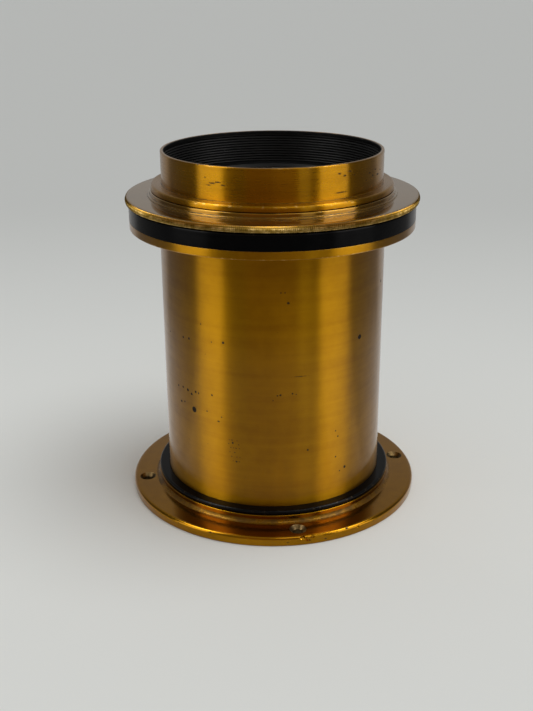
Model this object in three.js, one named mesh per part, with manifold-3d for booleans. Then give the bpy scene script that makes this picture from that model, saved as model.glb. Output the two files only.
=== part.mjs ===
// A brass portrait lens with an iris diaphragm, standing on its mounting flange.
// Millimetres, +Z from the flange up to the hood. The origin is on the optical
// axis, in the plane of the flange's rear face.

import * as THREE from 'three';
import { mergeVertices } from 'three/addons/utils/BufferGeometryUtils.js';
import Module from 'manifold-3d';

const wasm = await Module();
wasm.setup();

// ---------------------------------------------------------------- driving dimensions

const SIDES = 32; // flat sides on every turned piece
const BARREL_R = 38.1; // outside of the drawn 3 inch tube
const TUBE_WALL = 1.6;
const FIT = 0.3; // clearance between a piece and the one that it turns or sits in
const SEAT_GAP = 0.2; // clearance under a shoulder that stands on the piece below it
const EDGE_CHAMFER = 0.4; // on the corners that show

// heights of the visible steps, from the flange up
const BARREL_Z = 0.6;
const FLANGE_EDGE_Z = 3.2;
const HUB_TOP_Z = 6.0;
const SHOULDER_TOP_Z = 7.6;
const COLLAR_Z = 95.6;
const BAND_Z = 98.3;
const DISC_Z = 104.0;
const DISC_TOP_Z = 106.3;
const CELL_Z = 108.3;
const HOOD_Z = 110.2;
const RIM_Z = 120.8;

// radii of the visible steps
const FLANGE_R = 51.2;
const HUB_R = 41.9;
const SHOULDER_R = 41.7;
const COLLAR_R = 48.15;
const DISC_R = 49.3;
const TIER_R = 40.9;
const CELL_R = 40.6;
const HOOD_R = 37.0;
const HOOD_WALL = 1.2;

// the mount: the hub's hollow fillet, its thread and the screw holes
const HUB_COVE = 2.4;
const FLANGE_CHAMFER = 0.5;
const FLANGE_BORE_R = 40.3;
const MOUNT_THREAD_R = 39.9;
const MOUNT_THREAD_Z = 1.2;
const FLANGE_HOLES = { count: 4, pitchRadius: 46.5, first: 10, bore: 1.75, sink: 2.75 };
const HOLE_SIDES = 12;

// iris: each blade turns on a pin below it and is led by a pin above it
const IRIS = {
  blades: 12,
  pinCircle: 39.5,
  pinR: 0.6,
  span: 142, // degrees round from the pivot pin to the drive pin
  open: 30.6, // inner edge of a blade at full aperture
  bladeOuterR: 41.6,
  thickness: 0.14,
  lift: 1.0, // mm of rise per radian round the axis, so that the blades lie over each other
  bladeZ: 97.6,
  ringTurn: 60, // degrees of the control ring from open to closed
};
const DRIVE_PIN = { radius: 0.9, circle: 43.0, angle: 90 };
const DRIVE_PIN_TOP_Z = 105.4;
const DRIVE_HOLE_TOP_Z = 105.6;
const CAM_INNER_R = 33.5;
const CAM_SLOT = { length: 6.1, width: 2.6, circle: 37.4 };

const BRASS = { color: 0xb07a1e, roughness: 0.35, metalness: 1.0 };
const BLACK_ENAMEL = { color: 0x0a0a0b, roughness: 0.25, metalness: 0.0 };
const MATT_BLACK = { color: 0x111110, roughness: 0.8, metalness: 0.0 };
const BLADE_STEEL = { color: 0x1c1d20, roughness: 0.5, metalness: 0.8 };
const GLASS = { color: 0xdfe8e4, roughness: 0.05, metalness: 0.0, transparent: true, opacity: 0.35 };

// ---------------------------------------------------------------- shaping helpers

const radians = THREE.MathUtils.degToRad;

/** A piece turned on the lathe, from the [radius, height] corners of its section. */
function turned(corners) {
  const points = corners.map(([radius, height]) => new THREE.Vector2(radius, height));
  if (corners[0][0] > 0) {
    points.push(points[0].clone());
  }
  return new THREE.LatheGeometry(points, SIDES).rotateX(Math.PI / 2);
}

/** Corners of a dished surface of the given semi-diameter, from its centre out to its edge. */
function dish(centreZ, edgeZ, semi, steps = 5) {
  const sag = edgeZ - centreZ;
  if (sag === 0) {
    return [[0, centreZ], [semi, edgeZ]];
  }
  const curve = (semi * semi + sag * sag) / (2 * sag);
  return Array.from({ length: steps + 1 }, (_, i) => {
    const radius = (semi * i) / steps;
    return [radius, centreZ + curve - Math.sign(curve) * Math.sqrt(curve * curve - radius * radius)];
  });
}

/** A glass element between a rear and a front surface, each given as [centre z, edge z]. */
function lensElement(rear, front, semi) {
  return turned([...dish(...rear, semi), ...dish(...front, semi).reverse()]);
}

/** An upright pin between two heights. */
function pin(radius, bottom, top, sides = 8) {
  const shape = new THREE.CylinderGeometry(radius, radius, top - bottom, sides);
  return shape.rotateX(Math.PI / 2).translate(0, 0, (top + bottom) / 2);
}

/** Moves a geometry out to a radius and round to an angle in degrees. */
function placed(geometry, radius, angle) {
  return geometry.translate(radius, 0, 0).rotateZ(radians(angle));
}

/** The solid for a closed geometry, ready to be joined or cut. */
function solid(geometry) {
  const bare = new THREE.BufferGeometry();
  bare.setAttribute('position', geometry.getAttribute('position'));
  bare.setIndex(geometry.getIndex());
  const merged = mergeVertices(bare);
  const index = merged.getIndex().array;
  const corners = [];
  for (let i = 0; i < index.length; i += 3) {
    const [a, b, c] = index.slice(i, i + 3);
    if (a !== b && b !== c && c !== a) {
      corners.push(a, b, c);
    }
  }
  const mesh = new wasm.Mesh({
    numProp: 3,
    vertProperties: merged.getAttribute('position').array,
    triVerts: Uint32Array.from(corners),
  });
  return new wasm.Manifold(mesh);
}

/** The geometry of a solid. */
function geometryOf(body) {
  const { vertProperties, triVerts } = body.getMesh();
  const geometry = new THREE.BufferGeometry();
  geometry.setAttribute('position', new THREE.BufferAttribute(vertProperties, 3));
  geometry.setIndex(new THREE.BufferAttribute(triVerts, 1));
  geometry.computeVertexNormals();
  return geometry;
}

/** A geometry with each of the tools cut out of it. */
function cut(geometry, tools) {
  return geometryOf(tools.reduce((body, tool) => body.subtract(solid(tool)), solid(geometry)));
}

/** A geometry with each of the extras joined to it. */
function joined(geometry, extras) {
  return geometryOf(extras.reduce((body, extra) => body.add(solid(extra)), solid(geometry)));
}

/** Angles of evenly spaced copies round the axis, in degrees. */
function around(count, first = 0) {
  return Array.from({ length: count }, (_, i) => first + (360 * i) / count);
}

// ---------------------------------------------------------------- mount and barrel

/** Corners of a hollow fillet, from the flat at its foot up to the wall that it leads into. */
function cove(wallR, footZ, size, steps = 4) {
  return Array.from({ length: steps + 1 }, (_, i) => {
    const turn = radians((90 * i) / steps);
    return [wallR + size * (1 - Math.sin(turn)), footZ + size * (1 - Math.cos(turn))];
  });
}

function mountingFlange() {
  const ring = turned([
    [FLANGE_BORE_R, 0],
    [FLANGE_R, 0],
    [FLANGE_R, FLANGE_EDGE_Z - FLANGE_CHAMFER],
    [FLANGE_R - FLANGE_CHAMFER, FLANGE_EDGE_Z],
    ...cove(HUB_R, FLANGE_EDGE_Z, HUB_COVE),
    [HUB_R, HUB_TOP_Z],
    [FLANGE_BORE_R, HUB_TOP_Z],
  ]);
  const { count, pitchRadius, first, bore, sink } = FLANGE_HOLES;
  const depth = sink - bore;
  const over = 0.5; // how far the tools stand out of the plate, so that they cut it cleanly
  const tools = around(count, first).flatMap((angle) => {
    const cone = new THREE.CylinderGeometry(sink + over, bore, depth + over, HOLE_SIDES);
    cone.rotateX(Math.PI / 2).translate(0, 0, FLANGE_EDGE_Z + (over - depth) / 2);
    const drill = pin(bore, -over, FLANGE_EDGE_Z + over, HOLE_SIDES);
    return [placed(drill, pitchRadius, angle), placed(cone, pitchRadius, angle)];
  });
  return cut(ring, tools);
}

function mountingRing() {
  const bore = BARREL_R + FIT;
  const seat = HUB_TOP_Z + SEAT_GAP;
  return turned([
    [bore, MOUNT_THREAD_Z],
    [MOUNT_THREAD_R, MOUNT_THREAD_Z],
    [MOUNT_THREAD_R, seat],
    [SHOULDER_R, seat],
    [SHOULDER_R, SHOULDER_TOP_Z - EDGE_CHAMFER],
    [SHOULDER_R - EDGE_CHAMFER, SHOULDER_TOP_Z],
    [bore, SHOULDER_TOP_Z],
  ]);
}

function barrelTube() {
  const bore = BARREL_R - TUBE_WALL;
  const top = COLLAR_Z - FIT;
  return turned([[bore, BARREL_Z], [BARREL_R, BARREL_Z], [BARREL_R, top], [bore, top]]);
}

// ---------------------------------------------------------------- iris housing and iris

const HOUSING_WALL_OUT = COLLAR_R - 1.3;
const HOUSING_WALL_IN = HOUSING_WALL_OUT - 0.95;
const HOUSING_TOP_Z = 103.1;
const HOUSING_FLOOR = 0.9; // thickness of the shelf that joins the wall to the spigot
const SPIGOT_Z = 89;
const SPIGOT_WALL = 1.4;
const BAND_FIT = 0.25;
const PLATE_R = HOUSING_WALL_IN - FIT;
const PLATE_Z = 96.8;
const PLATE_THICKNESS = 0.6;
const PIN_GAP = 0.1; // how far the ends of the pins stand back
const CAM_Z = 100.7;
const CAM_TOP_Z = 101.5;
const COVER_Z = 101.8;
const COVER_TOP_Z = 103.7;
const SLOT_FIT = 0.4; // looser clearance, for what slides over a wider way
const DISC_CHAMFER = 0.6;
const BOSS_R = 36.4;
const BOSS_BORE = 34.6;
const BOSS_TOP_Z = 107.9;

function irisHousing() {
  const spigot = BARREL_R - TUBE_WALL - FIT;
  const bore = spigot - SPIGOT_WALL;
  const floor = COLLAR_Z + HOUSING_FLOOR;
  const chamfer = 0.3;
  return turned([
    [bore, SPIGOT_Z],
    [spigot, SPIGOT_Z],
    [spigot, COLLAR_Z],
    [COLLAR_R - chamfer, COLLAR_Z],
    [COLLAR_R, COLLAR_Z + chamfer],
    [COLLAR_R, BAND_Z],
    [HOUSING_WALL_OUT, BAND_Z],
    [HOUSING_WALL_OUT, HOUSING_TOP_Z],
    [HOUSING_WALL_IN, HOUSING_TOP_Z],
    [HOUSING_WALL_IN, floor],
    [bore, floor],
  ]);
}

function scaleBand() {
  const bore = HOUSING_WALL_OUT + BAND_FIT;
  const bottom = BAND_Z + SEAT_GAP;
  const top = DISC_Z - 2 * SEAT_GAP;
  return turned([[bore, bottom], [COLLAR_R, bottom], [COLLAR_R, top], [bore, top]]);
}

function irisBasePlate() {
  const inner = IRIS.open - SEAT_GAP;
  const top = PLATE_Z + PLATE_THICKNESS;
  const plate = turned([[inner, PLATE_Z], [PLATE_R, PLATE_Z], [PLATE_R, top], [inner, top]]);
  const holes = around(IRIS.blades).map((angle) => (
    placed(pin(IRIS.pinR + FIT, PLATE_Z - 1, top + 1), IRIS.pinCircle, angle)));
  return cut(plate, holes);
}

/** A thin crescent, rising round the axis, with its pivot pin below and its drive pin above. */
function irisBlade() {
  const middle = (IRIS.open + IRIS.bladeOuterR) / 2;
  const half = (IRIS.bladeOuterR - IRIS.open) / 2;
  const overhang = 3.5; // degrees of leaf beyond each of its pins
  const start = -overhang;
  const end = IRIS.span + overhang;
  const steps = 22;
  const rounding = 14; // degrees over which each end of the crescent narrows
  const inner = [];
  const outer = [];
  for (let i = 0; i <= steps; i += 1) {
    const angle = start + ((end - start) * i) / steps;
    const fromEnd = Math.min(angle - start, end - angle, rounding) / rounding;
    const width = half * Math.sqrt(1 - (1 - fromEnd) ** 2);
    const low = middle - width + (1 - width / half) * (IRIS.pinCircle - middle);
    const high = middle + width + (1 - width / half) * (IRIS.pinCircle - middle);
    const [c, s] = [Math.cos(radians(angle)), Math.sin(radians(angle))];
    outer.push(new THREE.Vector2(high * c, high * s));
    if (width > 0) {
      inner.push(new THREE.Vector2(low * c, low * s));
    }
  }
  const outline = new THREE.Shape([...outer, ...inner.reverse()]);
  const leaf = new THREE.ExtrudeGeometry(outline, {
    depth: IRIS.thickness,
    bevelEnabled: false,
  });
  const place = leaf.getAttribute('position');
  for (let i = 0; i < place.count; i += 1) {
    const rise = IRIS.lift * Math.atan2(place.getY(i), place.getX(i));
    place.setZ(i, place.getZ(i) + IRIS.bladeZ + rise);
  }
  const pivotZ = IRIS.bladeZ + IRIS.thickness / 2;
  const driveZ = pivotZ + IRIS.lift * radians(IRIS.span);
  return joined(leaf, [
    placed(pin(IRIS.pinR, PLATE_Z + PIN_GAP / 2, pivotZ), IRIS.pinCircle, 0),
    placed(pin(IRIS.pinR, driveZ, CAM_TOP_Z - PIN_GAP), IRIS.pinCircle, IRIS.span),
  ]);
}

/** The tool for the drive pin's hole, between two heights. */
function driveHole(bottom, top) {
  const { radius, circle, angle } = DRIVE_PIN;
  return placed(pin(radius + FIT, bottom, top, HOLE_SIDES), circle, angle);
}

function irisCamRing() {
  const outer = HOUSING_WALL_IN - FIT - SEAT_GAP;
  const ring = turned([
    [CAM_INNER_R, CAM_Z],
    [outer, CAM_Z],
    [outer, CAM_TOP_Z],
    [CAM_INNER_R, CAM_TOP_Z],
  ]);
  const { length, width, circle } = CAM_SLOT;
  const slots = around(IRIS.blades, IRIS.span).map((angle) => (
    placed(new THREE.BoxGeometry(length, width, 4).translate(0, 0, CAM_Z), circle, angle)));
  return cut(ring, [...slots, driveHole(CAM_Z - 1, CAM_TOP_Z + 1)]);
}

function irisCover() {
  const cover = turned([
    [BOSS_BORE, COVER_Z],
    [PLATE_R, COVER_Z],
    [PLATE_R, COVER_TOP_Z],
    [BOSS_R, COVER_TOP_Z],
    [BOSS_R, BOSS_TOP_Z],
    [BOSS_BORE, BOSS_TOP_Z],
  ]);
  const half = DRIVE_PIN.radius + SLOT_FIT;
  const margin = 2.2; // degrees of slot past the pin at each end of its travel
  const from = radians(DRIVE_PIN.angle - margin);
  const to = radians(DRIVE_PIN.angle + IRIS.ringTurn + margin);
  const slot = new THREE.Shape();
  slot.absarc(0, 0, DRIVE_PIN.circle + half, from, to, false);
  slot.absarc(0, 0, DRIVE_PIN.circle - half, to, from, true);
  const tool = new THREE.ExtrudeGeometry(slot, { depth: 4, bevelEnabled: false, curveSegments: 10 });
  return cut(cover, [tool.translate(0, 0, COVER_Z - 1)]);
}

function controlRing() {
  const bore = BOSS_R + SLOT_FIT;
  const top = CELL_Z - SEAT_GAP;
  const ring = turned([
    [bore, DISC_Z],
    [DISC_R - DISC_CHAMFER, DISC_Z],
    [DISC_R, DISC_Z + DISC_CHAMFER],
    [DISC_R, DISC_TOP_Z - DISC_CHAMFER],
    [DISC_R - DISC_CHAMFER, DISC_TOP_Z],
    [TIER_R, DISC_TOP_Z],
    [TIER_R, top],
    [bore, top],
  ]);
  return cut(ring, [driveHole(DISC_Z - 1, DRIVE_HOLE_TOP_Z)]);
}

function drivePin() {
  const { radius, circle, angle } = DRIVE_PIN;
  return placed(pin(radius, CAM_Z + PIN_GAP, DRIVE_PIN_TOP_Z), circle, angle);
}

// ---------------------------------------------------------------- front cell

const FRONT_SEMI = 32.4;
const FRONT_SEAT_Z = 102.5;
const FRONT_LEDGE = { width: 1.8, thickness: 0.6 };
const HOOD_FLOOR_Z = 109.0;

// heights of each glass surface, at its centre and at its edge
const FRONT_GLASS = {
  flintRear: [102.8, 102.8],
  flintFront: [104.5, 105.9],
  crownRear: [104.7, 106.1],
  crownFront: [112.4, 107.4],
};
const FRONT_STOP = {
  mouth: 29.2,
  slope: 1,
  underZ: 108.8,
  toe: 30.8,
  toeZ: 108.2,
  skirtZ: 107.8,
  notch: 3,
};

function frontCellHood() {
  const mouth = HOOD_R - HOOD_WALL;
  const bore = FRONT_SEMI + 2 * FIT;
  const thread = BOSS_BORE - SLOT_FIT;
  const ledge = bore - FRONT_LEDGE.width;
  const bottom = FRONT_SEAT_Z - FRONT_LEDGE.thickness;
  return turned([
    [ledge, bottom],
    [thread, bottom],
    [thread, CELL_Z],
    [CELL_R, CELL_Z],
    [CELL_R, HOOD_Z - EDGE_CHAMFER],
    [CELL_R - EDGE_CHAMFER, HOOD_Z],
    [HOOD_R, HOOD_Z],
    [HOOD_R, RIM_Z],
    [mouth, RIM_Z],
    [mouth, HOOD_FLOOR_Z],
    [bore, HOOD_FLOOR_Z],
    [bore, FRONT_SEAT_Z],
    [ledge, FRONT_SEAT_Z],
  ]);
}

function frontFlint() {
  return lensElement(FRONT_GLASS.flintRear, FRONT_GLASS.flintFront, FRONT_SEMI);
}

function frontCrown() {
  return lensElement(FRONT_GLASS.crownRear, FRONT_GLASS.crownFront, FRONT_SEMI);
}

const NOTCH_CIRCLE = 31;

/** Two notches for a spanner, across a ring at the given radius and height. */
function spannerNotches(radius, z, size) {
  return [0, 180].map((angle) => (
    placed(new THREE.BoxGeometry(size, 2.4, 1.2).translate(0, 0, z), radius, angle)));
}

function frontRetainingRing() {
  const { mouth, slope, underZ, toe, toeZ, skirtZ, notch } = FRONT_STOP;
  const outer = HOOD_R - HOOD_WALL - FIT;
  const skirt = FRONT_SEMI + SEAT_GAP;
  const rest = HOOD_FLOOR_Z + SEAT_GAP / 2;
  const top = HOOD_FLOOR_Z + slope;
  const ring = turned([
    [toe, toeZ],
    [skirt, skirtZ],
    [skirt, rest],
    [outer, rest],
    [outer, top],
    [mouth + slope, top],
    [mouth, top - slope],
    [mouth, underZ],
  ]);
  return cut(ring, spannerNotches(NOTCH_CIRCLE, top, notch));
}

// ---------------------------------------------------------------- rear cell

const REAR_SEMI = 33.1;
const REAR_BORE = REAR_SEMI + FIT;
const REAR_CELL_Z = 0.9;
const REAR_CELL_TOP_Z = 19.2;
const REAR_LEDGE = { width: 2, thickness: 0.6 };
const REAR_GLASS = {
  flintRear: [17.6, 15.6],
  flintFront: [19.6, 18.3],
  crownRear: [7.0, 10.3],
  crownFront: [16.5, 13.3],
};
const SPACER = { bore: 31.2, bottom: 13.9, top: 15.3 };
const REAR_STOP = { bore: 31, bottom: 5.5, top: 9.5, heel: 9.9, notch: 1.6 };

function rearCell() {
  const outer = BARREL_R - TUBE_WALL - FIT;
  const seat = REAR_BORE - REAR_LEDGE.width;
  const under = REAR_CELL_TOP_Z - REAR_LEDGE.thickness;
  return turned([
    [REAR_BORE, REAR_CELL_Z],
    [outer, REAR_CELL_Z],
    [outer, REAR_CELL_TOP_Z],
    [seat, REAR_CELL_TOP_Z],
    [seat, under],
    [REAR_BORE, under],
  ]);
}

function rearFlint() {
  return lensElement(REAR_GLASS.flintRear, REAR_GLASS.flintFront, REAR_SEMI);
}

function rearSpacerRing() {
  const { bore, bottom, top } = SPACER;
  return turned([[bore, bottom], [REAR_SEMI, bottom], [REAR_SEMI, top], [bore, top]]);
}

function rearCrown() {
  return lensElement(REAR_GLASS.crownRear, REAR_GLASS.crownFront, REAR_SEMI);
}

function rearRetainingRing() {
  const { bore, bottom, top, heel, notch } = REAR_STOP;
  const ring = turned([[bore, bottom], [REAR_SEMI, bottom], [REAR_SEMI, heel], [bore, top]]);
  return cut(ring, spannerNotches(NOTCH_CIRCLE, bottom, notch));
}

// ---------------------------------------------------------------- assembly

const lens = new THREE.Group();

/** Adds one named piece to the lens. */
function add(name, geometry, finish, parent = lens) {
  const mesh = new THREE.Mesh(geometry, new THREE.MeshStandardMaterial(finish));
  mesh.name = name;
  parent.add(mesh);
  return mesh;
}

add('mounting_flange', mountingFlange(), BRASS);
add('mounting_ring', mountingRing(), BLACK_ENAMEL);
add('barrel_tube', barrelTube(), BRASS);

const iris = new THREE.Group();
lens.add(iris);
add('iris_housing', irisHousing(), BRASS, iris);
add('aperture_scale_band', scaleBand(), BLACK_ENAMEL, iris);
add('iris_base_plate', irisBasePlate(), MATT_BLACK, iris);
around(IRIS.blades).forEach((angle, i) => {
  const blade = add(`iris_blade_${String(i + 1).padStart(2, '0')}`, irisBlade(), BLADE_STEEL, iris);
  blade.rotation.z = radians(angle);
});
add('iris_cam_ring', irisCamRing(), BRASS, iris);
add('iris_cover', irisCover(), BRASS, iris);
add('aperture_drive_pin', drivePin(), BRASS, iris);
add('aperture_control_ring', controlRing(), BRASS, iris);

const frontCell = new THREE.Group();
lens.add(frontCell);
add('front_cell_hood', frontCellHood(), BRASS, frontCell);
add('front_flint_element', frontFlint(), GLASS, frontCell);
add('front_crown_element', frontCrown(), GLASS, frontCell);
add('front_retaining_ring', frontRetainingRing(), MATT_BLACK, frontCell);

const rearGroup = new THREE.Group();
lens.add(rearGroup);
add('rear_cell', rearCell(), BRASS, rearGroup);
add('rear_flint_element', rearFlint(), GLASS, rearGroup);
add('rear_spacer_ring', rearSpacerRing(), MATT_BLACK, rearGroup);
add('rear_crown_element', rearCrown(), GLASS, rearGroup);
add('rear_retaining_ring', rearRetainingRing(), MATT_BLACK, rearGroup);

export default lens;
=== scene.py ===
"""A brass portrait lens with an iris diaphragm, standing on its mounting flange.

Every turned piece is drawn as a section in millimetres and revolved about the optical
axis, which is Z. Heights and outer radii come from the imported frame. Each sub-assembly
is a class with its sizes as fields, and each finish is a frozen dataclass.
"""

from __future__ import annotations

import logging
import math
from collections.abc import Iterable, Sequence
from dataclasses import dataclass, replace
from enum import Enum

import bmesh
import bpy
import numpy as np
from bpy.types import ID, Material, Mesh, Node, NodeSocket, Object, World
from mathutils import Matrix, Vector


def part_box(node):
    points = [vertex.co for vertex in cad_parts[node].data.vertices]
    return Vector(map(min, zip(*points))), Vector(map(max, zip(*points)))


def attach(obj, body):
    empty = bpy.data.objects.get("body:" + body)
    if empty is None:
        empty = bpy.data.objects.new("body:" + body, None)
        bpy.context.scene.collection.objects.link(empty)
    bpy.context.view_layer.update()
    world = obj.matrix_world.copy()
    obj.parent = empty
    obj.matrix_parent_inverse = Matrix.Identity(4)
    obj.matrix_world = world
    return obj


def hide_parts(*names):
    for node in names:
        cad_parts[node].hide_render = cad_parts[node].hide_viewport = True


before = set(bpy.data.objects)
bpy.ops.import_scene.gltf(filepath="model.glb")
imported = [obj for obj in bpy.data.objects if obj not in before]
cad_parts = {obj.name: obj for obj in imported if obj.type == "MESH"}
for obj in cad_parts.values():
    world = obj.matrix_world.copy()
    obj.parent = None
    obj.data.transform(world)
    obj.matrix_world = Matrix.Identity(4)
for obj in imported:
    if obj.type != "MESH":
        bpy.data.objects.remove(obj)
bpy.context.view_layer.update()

MM = 0.001
INCH = 25.4
GRAIN_TURN = 0.25  # turns the brushed highlight so that it runs along the axis
DULL = 0.12  # specular level of dirt and matt paint, which hardly mirror the room
Colour = tuple[float, float, float]

logging.basicConfig(level=logging.INFO, format="%(message)s")
log = logging.getLogger("portrait_lens")


# ------------------------------------------------------------------ shader graph


class Value:
    """A socket in a material's node tree, with Python's arithmetic.

    Args:
        graph: The graph that the socket belongs to.
        socket: The output socket that is wrapped.
    """

    def __init__(self, graph: Graph, socket: NodeSocket) -> None:
        """Keeps the graph and the socket."""
        self.graph = graph
        self.socket = socket

    def _maths(self, operation: str, *feeds: Feed) -> Value:
        """One Math node on the given feeds."""
        inputs = dict(enumerate(feeds))
        return self.graph.node("ShaderNodeMath", {"operation": operation}, inputs)[0]

    def __add__(self, other: Feed) -> Value:
        """Sum."""
        return self._maths("ADD", self, other)

    def __radd__(self, other: Feed) -> Value:
        """Sum, reflected."""
        return self._maths("ADD", other, self)

    def __sub__(self, other: Feed) -> Value:
        """Difference."""
        return self._maths("SUBTRACT", self, other)

    def __rsub__(self, other: Feed) -> Value:
        """Difference, reflected."""
        return self._maths("SUBTRACT", other, self)

    def __mul__(self, other: Feed) -> Value:
        """Product."""
        return self._maths("MULTIPLY", self, other)

    def __rmul__(self, other: Feed) -> Value:
        """Product, reflected."""
        return self._maths("MULTIPLY", other, self)

    def at_least(self, other: Feed) -> Value:
        """The larger of the two."""
        return self._maths("MAXIMUM", self, other)

    def at_most(self, other: Feed) -> Value:
        """The smaller of the two."""
        return self._maths("MINIMUM", self, other)

    def sway(self, amount: float) -> Value:
        """The value, which lies round a half, as an amount to either side of 0."""
        return (self - 0.5) * amount

    def rise(self, low: float, high: float) -> Value:
        """A smooth step.

        Args:
            low: Where the step is 0.
            high: Where the step is 1; below `low` the step falls instead.

        Returns:
            The stepped value, between 0 and 1.
        """
        start, end = (0.0, 1.0) if high > low else (1.0, 0.0)
        inputs = {
            "Value": self,
            "From Min": min(low, high),
            "From Max": max(low, high),
            "To Min": start,
            "To Max": end,
        }
        settings = {"interpolation_type": "SMOOTHSTEP"}
        return self.graph.node("ShaderNodeMapRange", settings, inputs)["Result"]


Feed = Value | float | Colour | tuple[float, ...]


class Outputs:
    """The outputs of one node, by name or by number.

    Args:
        graph: The graph that the node belongs to.
        node: The node.
    """

    def __init__(self, graph: Graph, node: Node) -> None:
        """Keeps the graph and the node."""
        self.graph = graph
        self.node = node

    def __getitem__(self, key: int | str) -> Value:
        """One output as a value."""
        return Value(self.graph, self.node.outputs[key])


class Graph:
    """The node tree of a new material or world.

    Args:
        owner: The material or world.
    """

    def __init__(self, owner: Material | World) -> None:
        """Empties the owner's node tree."""
        owner.use_nodes = True
        self.owner = owner
        self.tree = owner.node_tree
        self.tree.nodes.clear()

    @classmethod
    def named(cls, name: str) -> Graph:
        """The graph of a new material."""
        return cls(bpy.data.materials.new(name))

    def node(self, kind: str, settings: dict[str, object], inputs: dict[int | str, Feed]) -> Outputs:
        """Adds a node, with its settings first and then its inputs.

        Args:
            kind: The node's type.
            settings: Properties of the node.
            inputs: A number, colour, vector or linked value for each input named or numbered.

        Returns:
            The node's outputs.
        """
        node = self.tree.nodes.new(kind)
        for key, setting in settings.items():
            setattr(node, key, setting)
        for key, feed in inputs.items():
            socket = node.inputs[key]
            if isinstance(feed, Value):
                self.tree.links.new(feed.socket, socket)
            elif socket.type == "RGBA":
                socket.default_value = (*feed, 1.0)
            else:
                socket.default_value = feed
        return Outputs(self, node)

    def blend(self, factor: Feed, first: Feed, second: Feed) -> Value:
        """A mix of two colours.

        Args:
            factor: 0 for the first colour, 1 for the second.
            first: A colour.
            second: A colour.

        Returns:
            The mixed colour.
        """
        inputs = {0: factor, 6: first, 7: second}
        settings = {"data_type": "RGBA", "clamp_factor": True, "clamp_result": False}
        return self.node("ShaderNodeMix", settings, inputs)[2]

    def vector(self, operation: str, *feeds: Feed) -> Outputs:
        """One Vector Math node on the given feeds."""
        inputs = dict(enumerate(feeds))
        return self.node("ShaderNodeVectorMath", {"operation": operation}, inputs)

    def place(self) -> Value:
        """The point on the piece, in millimetres."""
        local = self.node("ShaderNodeTexCoord", {}, {})["Object"]
        return self.vector("MULTIPLY", local, (1 / MM,) * 3)[0]

    def split(self, vector: Value) -> Outputs:
        """The three parts of a vector."""
        return self.node("ShaderNodeSeparateXYZ", {}, {0: vector})

    def attribute(self, name: str) -> Value:
        """A number stored on the mesh."""
        return self.node("ShaderNodeAttribute", {"attribute_name": name}, {})["Fac"]

    def noise(self, vector: Value, scale: float, detail: float = 2.0, roughness: float = 0.5) -> Value:
        """Noise between 0 and 1.

        Args:
            vector: Where the noise is read.
            scale: Cells for each unit of the vector.
            detail: Octaves of finer noise.
            roughness: How strong the finer octaves are.

        Returns:
            The noise.
        """
        inputs = {"Vector": vector, "Scale": scale, "Detail": detail, "Roughness": roughness}
        return self.node("ShaderNodeTexNoise", {}, inputs)["Fac"]

    def cells(self, vector: Value, scale: float) -> Outputs:
        """Voronoi cells: the distance to the nearest cell point, and that cell's colour."""
        return self.node("ShaderNodeTexVoronoi", {}, {"Vector": vector, "Scale": scale})

    def lathe_lines(self, place: Value, per_mm: float, round_scale: float = 0.05) -> Value:
        """Noise drawn out into the fine rings that a lathe tool leaves.

        Args:
            place: The point in millimetres.
            per_mm: Rings for each millimetre along the section.
            round_scale: How fast a ring changes on its way round.

        Returns:
            The rings, between 0 and 1.
        """
        parts = self.split(place)
        run = self.attribute("run")
        inputs = {0: parts[0] * round_scale, 1: parts[1] * round_scale, 2: run * per_mm}
        vector = self.node("ShaderNodeCombineXYZ", {}, inputs)[0]
        return self.noise(vector, scale=1.0, detail=3.0, roughness=0.6)

    def bump(self, height: Value, distance: float, strength: float = 1.0) -> Value:
        """A normal from a height.

        Args:
            height: The height field.
            distance: How far a height of 1 stands out, in millimetres.
            strength: How much of the relief shows.

        Returns:
            The bumped normal.
        """
        inputs = {"Height": height, "Distance": distance * MM, "Strength": strength}
        return self.node("ShaderNodeBump", {}, inputs)["Normal"]

    def finish(self, inputs: dict[int | str, Feed]) -> Material:
        """Ends the graph in a Principled shader with the given inputs."""
        shader = self.node("ShaderNodeBsdfPrincipled", {}, inputs)["BSDF"]
        self.node("ShaderNodeOutputMaterial", {}, {"Surface": shader})
        return self.owner


# ------------------------------------------------------------------ finishes


@dataclass(frozen=True)
class Mark:
    """A dark spot or a scratch in the lacquer of a turned piece.

    Args:
        azimuth: Degrees round from the front, to the right.
        height: Height above the flange's rear face, in mm.
        size: Radius, in mm.
        stretch: Length round the piece over width.
    """

    azimuth: float
    height: float
    size: float
    stretch: float = 1.0

    def point(self, radius: float) -> tuple[float, float, float]:
        """The mark's centre on a cylinder of the given radius, in mm."""
        angle = math.radians(self.azimuth)
        return (radius * math.sin(angle), -radius * math.cos(angle), self.height)

    @classmethod
    def several(cls, *rows: tuple[float, ...]) -> tuple[Mark, ...]:
        """Marks from rows of azimuth, height, size and stretch."""
        return tuple(cls(*row) for row in rows)


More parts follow.
